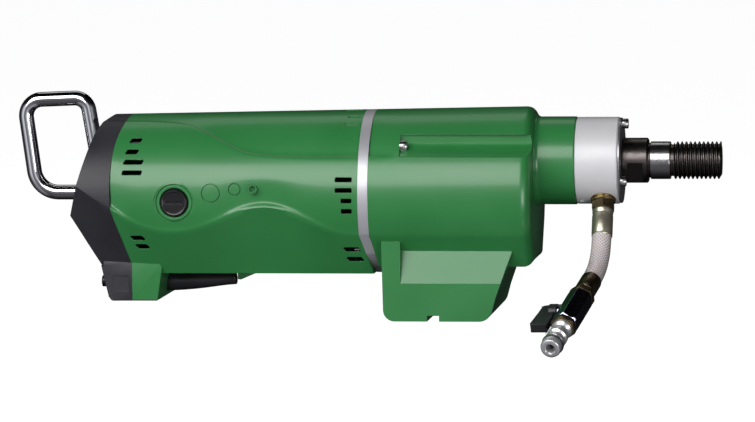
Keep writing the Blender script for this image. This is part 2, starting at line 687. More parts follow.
# --- sub-assemblies ---------------------------------------------------------------------
@dataclass
class MotorHousing:
    """The green motor housing with its slots, brush seats, foot and wedge.

    Attributes:
        wall: Thickness of the shell.
        flat_z: Height of the underside.
        foot_half: Half width of the foot.
        brush: X and Z of the brush caps' axis.
        marks: X, Z and radius of the three embossed rings.
        slots: Middle X and Z, length and lean of the cooling slots.
    """

    wall: float = 3.4
    flat_z: float = 37.5
    foot_half: float = 43.5
    brush: Point2 = (-217.6, 100.0)
    marks: tuple[Point3, ...] = ((-186.2, 108.0, 7.6), (-165.9, 111.1, 4.9), (-150.2, 111.7, 3.3))
    slots: tuple[tuple[float, float, float, float], ...] = (
        (-252.9, 150.8, 9.5, 1.4), (-254.9, 142.0, 10.5, 1.4), (-253.0, 133.7, 16.5, 1.2), (-253.8, 125.0, 17.0, 0.6),
        (-251.0, 69.4, 11.5, -2.0), (-247.6, 61.8, 11.0, -2.0), (-73.6, 119.3, 14.3, 0.0), (-73.6, 110.5, 14.3, 0.0),
        (-71.3, 101.7, 9.2, 0.0), (-71.3, 92.9, 9.2, 0.0), (-69.0, 59.5, 13.4, -1.5), (-67.2, 50.7, 13.4, -1.5))

    def shell(self) -> bpy.types.Object:
        """The swept shell with its cut-outs."""
        def x_of(u: float, z: float) -> float:
            return cap_edge_x(z) + u * (plate_x(z, False) - cap_edge_x(z))

        bm = SHAPE.skin(128, x_of, self.flat_z, self.dip, self.step)
        obj = as_object(bm, "housing_shell")
        wall = obj.modifiers.new("wall", "SOLIDIFY")
        wall.thickness = self.wall * MM
        wall.offset = -1.0
        wall.use_even_offset = False
        applied(obj)
        return combine(obj, self.cutters(), "DIFFERENCE")

    def dip(self, x: float) -> float:
        """Depth of the hollow above the wave at x."""
        return 0.25 + 2.5 * bell(x, -142, 34) + 2.1 * bell(x, -276, 17) + 0.6 * bell(x, -222, 20)

    def step(self, x: float) -> float:
        """Depth of the hollow above the brow at x."""
        return 0.5 + 2.1 * ease((x + 215) / 45)

    def side_y(self, x: float, z: float) -> float:
        """How far out the side panel is at a place."""
        points = [SHAPE.section(("panel", k / 60), x, self.flat_z, self.dip(x), self.step(x)) for k in range(61)]
        return min(points, key=lambda point: abs(point[1] - z))[0]

    def cutters(self) -> list[bpy.types.Object]:
        """Solids for the slots, the brush seats and the embossed rings."""
        tools = []
        for side in (-1, 1):
            reach = sorted((side * 36.0, side * 90.0))
            for x, z, length, lean in self.slots:
                half, rise = length / 2, 1.95
                outline = [(x - half - lean, z - rise), (x + half - lean, z - rise),
                           (x + half + lean, z + rise), (x - half + lean, z + rise)]
                tools.append(as_object(slab(rounded(outline, [0.9] * 4, 3), *reach), "slot"))
            place = placed((self.brush[0], 0.0, self.brush[1]), (0, side, 0))
            seat = lathe([(40, 0), (40, 12.4), (65.6, 12.4), (65.6, 15.6), (67.4, 15.8), (67.4, 17.2), (90, 17.2), (90, 0)])
            tools.append(as_object(seat, "seat", place))
            for x, z, radius in self.marks:
                skin_y = self.side_y(x, z)
                groove = lathe([(skin_y - 1.1, radius - 0.35), (skin_y + 4, radius - 0.6), (skin_y + 4, radius + 0.6),
                                (skin_y - 1.1, radius + 0.35)], 48, ring=True)
                tools.append(as_object(groove, "mark", placed((x, 0.0, z), (0, side, 0))))
        for x, length, lean in ((-72.7, 15.4, -4.0), (-69.5, 11.0, -19.0), (-71.0, 10.0, -29.0)):
            radius, centre = SHAPE.circle(x)
            tool = box((x - length / 2, -2.8, radius - 1.6), (x + length / 2, 1.9, radius + 6))
            place = Matrix.Translation((0, 0, centre * MM)) @ Matrix.Rotation(math.radians(-lean), 4, "X")
            tools.append(as_object(tool, "crown_mark", place))
        return tools

    def foot(self) -> bpy.types.Object:
        """The green part of the foot under the rear end."""
        outline = [(-259.1, 14.4), (-237.3, 14.4), (-233.3, 45.0), (-232.9, 48.5), (-259.1, 48.5)]
        bm = slab(outline, -self.foot_half, self.foot_half)
        soften(bm, 1.4, 40, 3, lambda p: p.x > -0.2585 and p.z < 0.050)
        obj = as_object(bm, "housing_foot")
        hole = as_object(lathe([(0, 0), (0, 8.1), (30, 8.1), (30, 0)], 40), "hole", placed((-250, 0, 26.3), (1, 0, 0)))
        return combine(obj, [hole], "DIFFERENCE")

    def wedge(self) -> bpy.types.Object:
        """The small wedge under the housing in front of the cord's guard."""
        outline = [(-174.5, 29.0), (-171.5, 29.0), (-151.5, 37.5), (-151.5, 39.0), (-174.5, 39.0)]
        bm = slab(outline, -8.0, 8.0)
        soften(bm, 0.8, 30, 2)
        return as_object(bm, "housing_wedge")

    def seat_rim(self, side: int) -> bpy.types.Object:
        """The turned rim inside a brush seat."""
        profile = [(58.0, 12.35), (66.6, 12.35), (67.1, 12.8), (67.1, 14.6), (66.3, 15.5), (58.0, 15.5)]
        bm = lathe(profile, 72, ring=True)
        return as_object(bm, f"brush_seat_{'near' if side < 0 else 'far'}", placed((self.brush[0], 0, self.brush[1]), (0, side, 0)))

    def build(self) -> None:
        """Makes the housing's pieces."""
        piece(self.shell(), GREEN, Body.UNIT, 38, ["motor_housing"])
        for obj in (self.foot(), self.wedge(), self.seat_rim(-1), self.seat_rim(1)):
            piece(obj, GREEN, Body.UNIT)


@dataclass
class RearCap:
    """The charcoal end cap with its sloping back, foot and screws.

    Attributes:
        planes: Two XZ points of each sloping face at the back.
        screws: Y, Z and X of each screw's seat.
    """

    planes: tuple[tuple[Point2, Point2], ...] = (
        ((-279.2, 170.3), (-285.3, 165.3)), ((-285.3, 165.3), (-289.2, 157.6)),
        ((-289.2, 157.6), (-308.2, 90.0)), ((-307.6, 86.0), (-286.6, 47.0)))
    screws: tuple[Point3, ...] = ((-42.5, 148.0, -282.5), (42.5, 148.0, -282.5),
                                  (-29.5, 30.0, -282.4), (29.5, 30.0, -282.4))

    def shell(self) -> bpy.types.Object:
        """The closed cap, cut by its sloping planes."""
        def x_of(u: float, z: float) -> float:
            return -318.0 + u * (cap_edge_x(z) + 318.0)

        bm = closed(SHAPE.skin(16, x_of, 37.5, lambda x: 0.0, lambda x: 0.5 * ease((x + 300) / 30)))
        for (x0, z0), (x1, z1) in self.planes:
            normal = Vector((z1 - z0, 0, x0 - x1)).normalized()
            if normal.x > 0:
                normal.negate()
            geom = bm.verts[:] + bm.edges[:] + bm.faces[:]
            bmesh.ops.bisect_plane(bm, geom=geom, dist=1e-7, plane_co=Vector((x0, 0, z0)) * MM, plane_no=normal,
                                   clear_outer=True)
            closed(bm)
        back = [e for e in bm.edges if len(e.link_faces) == 2 and e.calc_face_angle(0) > math.radians(14)
                and any(len(f.verts) > 8 for f in e.link_faces)
                and (e.verts[0].co.x + e.verts[1].co.x) / 2 < -0.2745]
        bmesh.ops.bevel(bm, geom=back, offset=1.6 * MM, affect="EDGES", segments=3, profile=0.5, material=-1,
                        clamp_overlap=True)
        obj = as_object(bm, "rear_cap_shell")
        tools = []
        for y, z, x in self.screws[:2]:
            tools.append(as_object(lathe([(0, 0), (0, 5.1), (30, 5.1), (30, 0)], 32), "seat", placed((x, y, z), (-1, 0, 0))))
        return combine(obj, tools, "DIFFERENCE")

    def foot(self) -> bpy.types.Object:
        """The cap's part of the foot, with a plain raised square on both sides."""
        outline = [(-276.6, 14.4), (-259.1, 14.4), (-259.1, 48.5), (-284.0, 48.5), (-285.6, 44.0), (-279.7, 18.5)]
        bm = slab(rounded(outline, [3.0, 0, 0, 0, 1.5, 3.0], 4), -43.5, 43.5)
        soften(bm, 1.2, 50, 2, lambda p: p.x < -0.2600)
        obj = as_object(bm, "rear_cap_foot")
        cut = box((-13.4, -9.4, -6.0), (13.4, 9.4, 12.0))
        place = placed((-282.55, 0, 30.75), (-0.9722, 0, -0.2341), (0, -1, 0))
        tools = [as_object(cut, "window", place)]
        for side in (-1, 1):
            frame_cut = slab([(-275.5, 22.6), (-262.4, 22.6), (-262.4, 35.6), (-275.5, 35.6)], *sorted((side * 43.1, side * 45)))
            tools.append(as_object(frame_cut, "panel"))
        return combine(obj, tools, "DIFFERENCE")

    def screw(self, index: int) -> bpy.types.Object:
        """One of the cap's socket screws."""
        y, z, x = self.screws[index]
        return socket_screw(f"rear_cap_screw_{index + 1}", placed((x, y, z), (-1, 0, 0)), 4.9, 5.0, 2.45, 36.0)

    def build(self) -> None:
        """Makes the cap's pieces."""
        piece(self.shell(), CAP_BLACK, Body.UNIT, 28, ["rear_cap"])
        piece(self.foot(), CAP_BLACK, Body.UNIT, 30)
        for index in range(4):
            replaced = ["rear_cap_screws"] if index == 0 else []
            piece(self.screw(index), BLACK_SCREW, Body.UNIT, 30, replaced)


def socket_screw(name: str, place: Matrix, head_r: float, head_h: float, shank_r: float, length: float) -> bpy.types.Object:
    """A socket-head cap screw.

    Args:
        name: The piece's name.
        place: Local Z points out of the head, and z = 0 is the head's seat.
        head_r: Radius of the head.
        head_h: Height of the head.
        shank_r: Radius of the shank.
        length: Length of the shank.

    Returns:
        The screw.
    """
    profile = [(-length, 0), (-length, shank_r), (0, shank_r), (0, head_r), (head_h - 0.7, head_r),
               (head_h - 0.2, head_r - 0.25), (head_h, head_r - 0.8), (head_h, 0)]
    obj = as_object(lathe(profile, 40), name)
    socket = as_object(prism(polygon(6, head_r * 1.05), head_h * 0.4, head_h + 2), "socket")
    combine(obj, [socket], "DIFFERENCE")
    obj.data.transform(place)
    return obj


@dataclass
class GearCase:
    """The green gear case with its pockets, neck and base.

    Attributes:
        flat_z: Height of the case's underside.
        front_x: X of the front face.
        round_r: Radius round the front face.
    """

    flat_z: float = 44.0
    front_x: float = 82.5
    round_r: float = 8.5

    def barrel(self) -> bpy.types.Object:
        """The body of the case, closed, with a rounded front."""
        straight = 0.86

        def x_of(u: float, z: float) -> float:
            start, end = plate_x(z, True), self.front_x - self.round_r
            if u <= straight:
                return start + (end - start) * u / straight
            return end + self.round_r * math.sin((u - straight) / (1 - straight) * math.pi / 2)

        def shrink(u: float) -> float:
            if u <= straight:
                return 0.0
            return self.round_r * (1 - math.cos((u - straight) / (1 - straight) * math.pi / 2))

        bm = SHAPE.skin(64, x_of, self.flat_z, lambda x: 0.0, lambda x: 2.2 * (1 - ease((x + 53) / 27)), shrink)
        return as_object(closed(bm), "gear_case_casting")

    def neck(self) -> bpy.types.Object:
        """The round neck in front of the case."""
        profile = [(60.0, 0), (60.0, 38.6), (83.6, 38.6), (84.6, 37.6), (86.0, 37.15), (115.7, 37.15), (116.5, 36.4), (116.5, 0)]
        return as_object(lathe(profile, 96), "neck", placed((0, 0, 130), (1, 0, 0)))

    def base(self) -> bpy.types.Object:
        """The base with its ribs, ledges, key groove and tapped holes."""
        outline = [(-43.1, 66.8), (-42.0, 0.0), (47.2, 0.0), (52.4, 19.0), (66.6, 60.0), (66.6, 66.8)]
        bm = slab(rounded(outline, [0, 9.5, 11.0, 0, 0, 0], 6), -63.5, 63.5)
        obj = as_object(bm, "base")
        tools = [as_object(slab([(-27.1, 60.0), (80, 60.0), (80, 80), (-27.1, 80)], -80, 80), "top")]
        for side in (-1, 1):
            wedge = prism([(side * 80, 22.0), (side * 63.6, 31.8), (side * 49.0, 66.6), (side * 49.0, 80), (side * 80, 80)], -27.1, 90)
            wedge.transform(Matrix(((0, 0, 1, 0), (1, 0, 0, 0), (0, 1, 0, 0), (0, 0, 0, 1))))
            bmesh.ops.recalc_face_normals(wedge, faces=wedge.faces)
            tools.append(as_object(wedge, "ledge"))
        tools.append(as_object(box((-5, -70, -2), (5, 70, 4.8)), "key"))
        for x in (-26, 26):
            for y in (-45, 45):
                hole = lathe([(-2, 0), (-2, 4.3), (0, 4.3), (0.9, 3.4), (24, 3.4), (26, 0)], 32)
                tools.append(as_object(hole, "hole", placed((x, y, 0), (0, 0, 1))))
        return combine(obj, tools, "DIFFERENCE")

    def build(self) -> None:
        """Makes the casting and its screws."""
        case = combine(self.barrel(), [self.neck(), self.base()], "UNION")
        tools = []
        for side in (-1, 1):
            reach = sorted((side * 45.0, side * 90.0))
            bottom = side * 45.0
            outline = [(bottom, 155.4), (side * 90, 156.6), (side * 90, 132.9), (side * 60.5, 137.9),
                       (side * 49.0, 144.6), (side * 46.2, 146.4), (bottom, 148.2)]
            pocket = prism(outline, -27.5, 100)
            pocket.transform(Matrix(((0, 0, 1, 0), (1, 0, 0, 0), (0, 1, 0, 0), (0, 0, 0, 1))))
            bmesh.ops.recalc_face_normals(pocket, faces=pocket.faces)
            tools.append(as_object(pocket, "pocket"))
        combine(case, tools, "DIFFERENCE")
        piece(case, GREEN, Body.UNIT, 17, ["gear_case"])
        for side, name in ((-1, "near"), (1, "far")):
            place = placed((-27.5, side * 51.2, 146.0), (1, 0, 0))
            screw = socket_screw(f"gear_case_screw_{name}", place, 4.9, 6.0, 3.0, 9.0)
            piece(screw, ZINC, Body.UNIT, 30, ["gear_case_screws"] if side < 0 else [])


@dataclass
class CarryHandle:
    """The chromed bar handle.

    Attributes:
        radius: Radius of the bar.
        corners: XZ corners of its middle line.
        bends: Radius at each inner corner.
    """

    radius: float = 6.4
    corners: tuple[Point2, ...] = ((-287.0, 103.2), (-349.0, 103.2), (-359.4, 182.4), (-304.5, 184.4),
                                    (-293.3, 116.0))
    bends: tuple[float, ...] = (0, 21.0, 14.0, 12.0, 0)

    def line(self) -> list[Vector]:
        """Points of the middle line, close together."""
        points = rounded(self.corners, self.bends, 12)
        return [Vector((x, 0, z)) for x, z in points]

    def build(self) -> None:
        """Makes the handle."""
        bm = tube(self.line(), self.radius, 32)
        obj = as_object(closed(bm), "carry_handle_bar")
        piece(obj, CHROME, Body.UNIT, 50, ["carry_handle"])


def tube(line: Sequence[Vector], radius: float, sides: int, uv: bool = False) -> bmesh.types.BMesh:
    """A round tube along a line, open at both ends.

    Args:
        line: Points of the middle line, in mm.
        radius: Radius of the tube.
        sides: Segments round it.
        uv: Adds a map: U once round, V in turns' lengths along.

    Returns:
        The mesh, in metres.
    """
    bm = bmesh.new()
    across = Vector((0, 1, 0))
    rings = []
    for i, point in enumerate(line):
        ahead = (line[min(i + 1, len(line) - 1)] - line[max(i - 1, 0)]).normalized()
        across = (across - ahead * across.dot(ahead)).normalized()
        up = ahead.cross(across)
        turn = Matrix((across, up, ahead)).transposed().to_4x4()
        ring = bmesh.ops.create_circle(bm, cap_ends=False, segments=sides, radius=radius * MM,
                                       matrix=Matrix.Translation(point * MM) @ turn)["verts"]
        rings.append(ring)
    for a, b in zip(rings, rings[1:]):
        edges = [e for ring in (a, b) for e in {e for v in ring for e in v.link_edges} if e.is_boundary or e.is_wire
                 if all(v in ring for v in e.verts)]
        bmesh.ops.bridge_loops(bm, edges=edges)
    bmesh.ops.recalc_face_normals(bm, faces=bm.faces)
    if uv:
        layer = bm.loops.layers.uv.new("map")
        place = {}
        run = 0.0
        for i, ring in enumerate(rings):
            if i:
                run += (line[i] - line[i - 1]).length
            for k, vert in enumerate(ring):
                place[vert] = (k / sides, run / (math.tau * radius))
        for face in bm.faces:
            us = [place[loop.vert][0] for loop in face.loops]
            wraps = max(us) - min(us) > 0.5
            for loop in face.loops:
                u, v = place[loop.vert]
                loop[layer].uv = (u + 1.0 if wraps and u < 0.5 else u, v)
    return bm


@dataclass
class SpindleNose:
    """The spindle with its collar, wrench flats, pilot and thread.

    Attributes:
        axis_z: Height of the axis.
        crest, root: Radii of the thread.
        pitch: Thread pitch.
        flat_turn: Which way the wrench flats face.
    """

    axis_z: float = 130.0
    crest: float = 15.87
    root: float = 13.6
    pitch: float = 3.629
    flat_turn: float = 125.0

    def shaft(self) -> bpy.types.Object:
        """The plain part of the spindle."""
        profile = [(-52, 0), (-52, 8.5), (-40, 8.5), (-40, 10), (-30, 10), (-30, 13), (-8, 13), (-8, 12.2), (-6.6, 12.2),
                   (-6.6, 13), (18, 13), (18, 16), (24, 16), (24, 15), (155.2, 15), (155.2, 18.4), (155.8, 19),
                   (175.6, 19), (176.6, 18.0), (176.6, 14.6), (178.3, 14.6), (178.3, 15.4), (178.8, 15.87),
                   (194.7, 15.87), (195.2, 15.4), (195.4, 13.4), (199.5, 13.4), (199.5, 0)]
        obj = as_object(lathe(profile, 96), "spindle_shaft", placed((0, 0, self.axis_z), (1, 0, 0)))
        tools = []
        for turn in (0, 180):
            cut = box((159.5, -40, 16.0), (172.5, 40, 26))
            spin = Matrix.Rotation(math.radians(self.flat_turn + turn), 4, "X")
            tools.append(as_object(cut, "flat", Matrix.Translation(Vector((0, 0, self.axis_z * MM))) @ spin))
        key = box((-4, -4, self.axis_z + 9), (16, 4, self.axis_z + 16))
        tools.append(as_object(key, "key"))
        return combine(obj, tools, "DIFFERENCE")

    def thread(self) -> bpy.types.Object:
        """The threaded nose, a real helix with a bore."""
        turns, per_turn = 11.2, 64
        start = 197.4
        bm = bmesh.new()
        profile = [(-1.5, self.root), (-0.35, self.crest), (0.35, self.crest), (1.5, self.root)]
        verts = [bm.verts.new(((start + x) * MM, 0, r * MM)) for x, r in profile]
        edges = [bm.edges.new(pair) for pair in zip(verts, verts[1:])]
        total = int(turns * per_turn)
        step = self.pitch * MM / per_turn
        bmesh.ops.spin(bm, geom=verts + edges, cent=(0, 0, 0), axis=(1, 0, 0), angle=math.tau * turns, steps=total,
                       dvec=(step, 0, 0), use_merge=False)
        skirt = [e for e in bm.edges if e.is_boundary]
        grown = bmesh.ops.extrude_edge_only(bm, edges=skirt)["geom"]
        for vert in [g for g in grown if isinstance(g, bmesh.types.BMVert)]:
            flat = Vector((0, vert.co.y, vert.co.z))
            vert.co = Vector((vert.co.x, 0, 0)) + flat.normalized() * (self.root - 1.2) * MM
        bmesh.ops.recalc_face_normals(bm, faces=bm.faces)
        bm.transform(Matrix.Translation(Vector((0, 0, self.axis_z * MM))))
        for limit, way in ((198.2, -1), (237.6, 1)):
            bmesh.ops.bisect_plane(bm, geom=bm.verts[:] + bm.edges[:] + bm.faces[:], dist=1e-7,
                                   plane_co=(limit * MM, 0, 0), plane_no=(way, 0, 0), clear_outer=True)
        return as_object(bm, "spindle_thread")

    def core(self) -> bpy.types.Object:
        """The core under the thread, with the water bore's mouth."""
        profile = [(198.0, self.root - 0.2), (237.0, self.root + 0.05), (238.0, self.root - 1.2), (238.0, 6.2), (237.0, 5.0), (205, 5.0),
                   (198.0, 5.0)]
        return as_object(lathe(profile, 72, ring=True), "spindle_core", placed((0, 0, self.axis_z), (1, 0, 0)))

    def pilot(self) -> bpy.types.Object:
        """The bright ground sleeve surface of the pilot."""
        profile = [(178.4, 15.2), (178.5, 15.6), (178.9, 15.9), (194.6, 15.9), (195.1, 15.6), (195.2, 15.2)]
        return as_object(lathe(profile, 96, ring=True), "spindle_pilot_face", placed((0, 0, self.axis_z), (1, 0, 0)))

    def build(self) -> None:
        """Makes the spindle's pieces."""
        piece(self.shaft(), DARK_STEEL, Body.SPINDLE, 30, ["spindle"])
        piece(self.thread(), DARK_STEEL, Body.SPINDLE, 30)
        piece(self.core(), DARK_STEEL, Body.SPINDLE, 30)
        piece(self.pilot(), GROUND_STEEL, Body.SPINDLE, 30)


@dataclass
class WaterSwivel:
    """The ring that feeds water to the spindle, its cover, screws and inlet.

    Attributes:
        axis_z: Height of the axis.
        radius: Radius of the ring.
        tilt: Lean of the inlet towards the near side, in degrees.
        inlet_x: X of the inlet.
    """

    axis_z: float = 130.0
    radius: float = 36.65
    tilt: float = 30.0
    inlet_x: float = 139.5

    def outwards(self, tilt: float, x: float) -> Matrix:
        """A place on the axis whose Z runs out of the ring."""
        angle = math.radians(tilt)
        return placed((x, 0, self.axis_z), (0, -math.sin(angle), -math.cos(angle)), (1, 0, 0))

    def ring(self) -> bpy.types.Object:
        """The ring with its inlet seat and weep hole."""
        r = self.radius
        profile = [(116.6, 22), (116.6, r - 0.9), (117.4, r), (151.6, r), (152.5, r - 0.9), (152.5, 22)]
        obj = as_object(lathe(profile, 128, ring=True), "swivel_ring_body", placed((0, 0, self.axis_z), (1, 0, 0)))
        seat = lathe([(20, 0), (20, 8), (35, 8), (35, 10.7), (50, 10.7), (50, 0)], 48)
        weep = lathe([(24, 0), (24, 1.7), (35.4, 1.7), (37.5, 2.6), (50, 2.6), (50, 0)], 24)
        tools = [as_object(seat, "seat", self.outwards(self.tilt, self.inlet_x)),
                 as_object(weep, "weep", self.outwards(27, 121.4))]
        return combine(obj, tools, "DIFFERENCE")

    def cover(self) -> bpy.types.Object:
        """The dark cover in front of the ring."""
        profile = [(152.5, 15.6), (152.5, 35.6), (152.9, 36.0), (154.2, 36.0), (154.7, 35.3), (154.7, 27), (154.5, 26.4),
                   (154.7, 25.8), (154.7, 15.6)]
        return as_object(lathe(profile, 128, ring=True), "swivel_cover_plate", placed((0, 0, self.axis_z), (1, 0, 0)))

    def nipple(self) -> list[bpy.types.Object]:
        """The threaded inlet collar and its hexagon."""
        place = self.outwards(self.tilt, self.inlet_x)
        collar = [(30, 0), (30, 8), (35.0, 8), (35.0, 9.6), (35.5, 10.2), (36.3, 10.2), (36.8, 9.4), (37.3, 9.4), (37.8, 10.2),
                  (38.7, 10.2), (39.3, 9.6), (39.5, 8.6), (39.5, 0)]
        return [as_object(lathe(collar, 64), "inlet_collar", place), hexagon_nut("inlet_hexagon", place, 39.5, 46.5, 18.0)]

    def build(self) -> None:
        """Makes the swivel's pieces."""
        piece(self.ring(), RING_SILVER, Body.UNIT, 30, ["water_swivel_ring"])
        piece(self.cover(), COVER_STEEL, Body.UNIT, 30, ["swivel_cover"])
        for index, angle in enumerate((90, 210, 330)):
            y, z = 31 * math.cos(math.radians(angle)), 31 * math.sin(math.radians(angle))
            screw = socket_screw(f"swivel_cover_screw_{index + 1}", placed((154.7, y, self.axis_z + z), (1, 0, 0)), 4.25, 5.0, 2.4, 49.0)
            piece(screw, ZINC, Body.UNIT, 30, ["swivel_cover_screws"] if index == 0 else [])
        collar, hexagon = self.nipple()
        piece(collar, BRASS, Body.UNIT, 30, ["water_nipple"])
        piece(hexagon, DULL_BRASS, Body.UNIT, 30)


def hexagon_nut(name: str, place: Matrix, low: float, high: float, across: float) -> bpy.types.Object:
    """A hexagon with chamfered corners.

    Args:
        name: The piece's name.
        place: Local Z runs through the hexagon.
        low: Where it starts on local Z.
        high: Where it ends.
        across: Size across flats.

    Returns:
        The hexagon.
    """
    corner = across / 2 / math.cos(math.pi / 6)
    rim = across / 2 - 0.2
    slope = (corner - rim) * 0.45
    cone = [(low, 0), (low, rim), (low + slope, corner + 0.02), (high - slope, corner + 0.02), (high, rim), (high, 0)]
    obj = as_object(prism(polygon(6, across, math.pi / 6), low, high), name)
    combine(obj, [as_object(lathe(cone, 72), "cone")], "INTERSECT")
    obj.data.transform(place)
    return obj


@dataclass
class WaterHose:
    """The short braided hose from the swivel to the valve.

    Attributes:
        route: Control points of its middle line.
        radius: Radius of the hose.
        ferrule: Radius of the crimped ferrules.
    """

    route: tuple[Point3, ...] = ((139.5, -23.25, 89.73), (139.5, -39.5, 61.58), (138.28, -51.0, 49.13),
                                 (135.89, -64.88, 39.61), (129.2, -95.4, 27.6))
    radius: float = 8.2
    ferrule: float = 8.85

    def line(self) -> list[Vector]:
        """Points along the hose's middle line, in mm, read from its spline."""
        curve = bpy.data.curves.new("hose_route", "CURVE")
        curve.dimensions = "3D"
        spline = curve.splines.new("NURBS")
        spline.points.add(len(self.route) - 1)
        for point, place in zip(spline.points, self.route):
            point.co = (*[c * MM for c in place], 1.0)
        spline.order_u = 3
        spline.use_endpoint_u = True
        curve.resolution_u = 14
        holder = bpy.data.objects.new("hose_route", curve)
        bpy.context.scene.collection.objects.link(holder)
        bpy.context.view_layer.update()
        mesh = bpy.data.meshes.new_from_object(holder.evaluated_get(bpy.context.evaluated_depsgraph_get()))
        points = [v.co / MM for v in mesh.vertices]
        bpy.data.objects.remove(holder)
        bpy.data.meshes.remove(mesh)
        return points

    def crimp(self, name: str, place: Matrix, low: float, high: float, flip: bool) -> bpy.types.Object:
        """A crimped ferrule with a rolled lip at the hose's side."""
        r = self.ferrule
        inner = self.radius - 0.5
        outline = [(low, inner), (low, r - 0.6), (low + 0.6, r), (low + 3.0, r), (low + 3.6, r - 0.35), (low + 5.0, r - 0.35),
                   (low + 5.6, r), (high - 2.2, r), (high - 1.6, r - 0.25), (high - 1.0, r - 0.2), (high - 0.5, r), (high, r - 0.3),
                   (high, inner)]
        if flip:
            outline = [(low + high - z, radius) for z, radius in outline]
        bm = lathe(outline, 72, ring=True)
        return as_object(bm, name, place)

    def build(self, end: Matrix, swivel: WaterSwivel) -> tuple[bpy.types.Object, list[bpy.types.Object]]:
        """Makes the hose and its ferrules.

        Args:
            end: The valve's place, at the hose's end.
            swivel: The swivel that the hose starts from.

        Returns:
            The hose, and the two ferrules.
        """
        line = self.line()
        bm = tube(line, self.radius, 48, uv=True)
        hose = piece(as_object(bm, "water_hose_braided"), HOSE, Body.UNIT, 60, ["water_hose"])
        upper = self.crimp("ferrule_upper", swivel.outwards(swivel.tilt, swivel.inlet_x), 46.5, 70.6, False)
        lower = self.crimp("ferrule_lower", end, -22.6, 0.4, True)
        piece(upper, YELLOW_ZINC, Body.UNIT, 40, ["hose_ferrule_upper"])
        piece(lower, DULL_BRASS, Body.UNIT, 40, ["hose_ferrule_lower"])
        return hose, [upper, lower]


